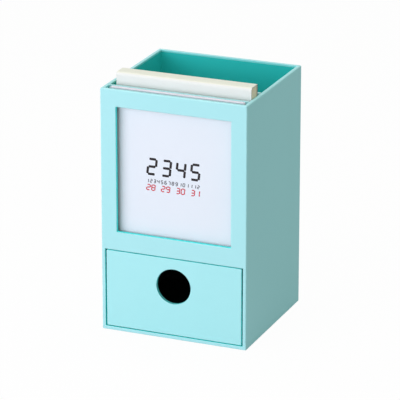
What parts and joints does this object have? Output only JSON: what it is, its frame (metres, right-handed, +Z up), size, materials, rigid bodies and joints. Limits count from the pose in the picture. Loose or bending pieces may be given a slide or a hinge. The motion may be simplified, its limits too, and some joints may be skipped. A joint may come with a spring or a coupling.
{
  "type": "desk calendar with drawer",
  "caption": "Upright desk box of wrapped board with a framed window for loose calendar cards, a memo pad pocket, a pen compartment and a drawer with a finger hole.",
  "frame": {"origin": "middle of the underside of the case", "axes": "+Z up; -Y the front with the window and the drawer; +X to the right as seen from the front"},
  "size_m": [0.095, 0.09, 0.1619],
  "materials": {
    "greyboard": "matt",
    "mint_wrap_paper": "satin",
    "mint_lining_paper": "satin",
    "dark_lining_paper": "matt",
    "card_stock": "matt",
    "ivory_cover": "matt",
    "cream_sheets": "matt",
    "binding_glue": "gloss"
  },
  "bodies": {
    "case": {"left_wall_board": "greyboard", "right_wall_board": "greyboard", "back_wall_board": "greyboard", "base_board": "greyboard", "bay_roof_board": "greyboard", "front_frame_board": "greyboard", "card_divider_board": "greyboard", "pad_divider_board": "greyboard", "case_wrap_paper": "mint_wrap_paper", "base_paper": "mint_wrap_paper", "wall_lining": "mint_lining_paper", "frame_back_paper": "mint_lining_paper", "upper_floor_paper": "mint_lining_paper", "card_divider_wrap": "mint_wrap_paper", "pad_divider_wrap": "mint_wrap_paper", "bay_lining": "mint_lining_paper"},
    "drawer": {"drawer_front_board": "greyboard", "drawer_front_wrap": "mint_wrap_paper", "drawer_bottom_board": "greyboard", "drawer_left_board": "greyboard", "drawer_right_board": "greyboard", "drawer_back_board": "greyboard", "drawer_outer_wrap": "mint_wrap_paper", "drawer_lining": "dark_lining_paper"},
    "memo_pad": {"memo_cover": "ivory_cover", "memo_sheets": "cream_sheets", "memo_back_board": "greyboard", "memo_glue_strip": "binding_glue"},
    "cover_card": {"cover_card": "card_stock"},
    "month_card_01": {"month_card_01": "card_stock"},
    "month_card_02": {"month_card_02": "card_stock"},
    "month_card_03": {"month_card_03": "card_stock"},
    "month_card_04": {"month_card_04": "card_stock"},
    "month_card_05": {"month_card_05": "card_stock"},
    "month_card_06": {"month_card_06": "card_stock"},
    "month_card_07": {"month_card_07": "card_stock"},
    "month_card_08": {"month_card_08": "card_stock"},
    "month_card_09": {"month_card_09": "card_stock"},
    "month_card_10": {"month_card_10": "card_stock"},
    "month_card_11": {"month_card_11": "card_stock"},
    "month_card_12": {"month_card_12": "card_stock"}
  },
  "joints": [
    {"name": "drawer_slide", "type": "slide", "parent": "case", "child": "drawer", "axis": [0, -1, 0], "range_m": [0, 0.07]},
    {"name": "memo_pad_lift", "type": "slide", "parent": "case", "child": "memo_pad", "axis": [0, 0, 1], "range_m": [0, 0.103]},
    {"name": "cover_card_lift", "type": "slide", "parent": "case", "child": "cover_card", "axis": [0, 0, 1], "range_m": [0, 0.103]},
    {"name": "month_card_01_lift", "type": "slide", "parent": "case", "child": "month_card_01", "axis": [0, 0, 1], "range_m": [0, 0.103]},
    {"name": "month_card_02_lift", "type": "slide", "parent": "case", "child": "month_card_02", "axis": [0, 0, 1], "range_m": [0, 0.103]},
    {"name": "month_card_03_lift", "type": "slide", "parent": "case", "child": "month_card_03", "axis": [0, 0, 1], "range_m": [0, 0.103]},
    {"name": "month_card_04_lift", "type": "slide", "parent": "case", "child": "month_card_04", "axis": [0, 0, 1], "range_m": [0, 0.103]},
    {"name": "month_card_05_lift", "type": "slide", "parent": "case", "child": "month_card_05", "axis": [0, 0, 1], "range_m": [0, 0.103]},
    {"name": "month_card_06_lift", "type": "slide", "parent": "case", "child": "month_card_06", "axis": [0, 0, 1], "range_m": [0, 0.103]},
    {"name": "month_card_07_lift", "type": "slide", "parent": "case", "child": "month_card_07", "axis": [0, 0, 1], "range_m": [0, 0.103]},
    {"name": "month_card_08_lift", "type": "slide", "parent": "case", "child": "month_card_08", "axis": [0, 0, 1], "range_m": [0, 0.103]},
    {"name": "month_card_09_lift", "type": "slide", "parent": "case", "child": "month_card_09", "axis": [0, 0, 1], "range_m": [0, 0.103]},
    {"name": "month_card_10_lift", "type": "slide", "parent": "case", "child": "month_card_10", "axis": [0, 0, 1], "range_m": [0, 0.103]},
    {"name": "month_card_11_lift", "type": "slide", "parent": "case", "child": "month_card_11", "axis": [0, 0, 1], "range_m": [0, 0.103]},
    {"name": "month_card_12_lift", "type": "slide", "parent": "case", "child": "month_card_12", "axis": [0, 0, 1], "range_m": [0, 0.103]}
  ]
}
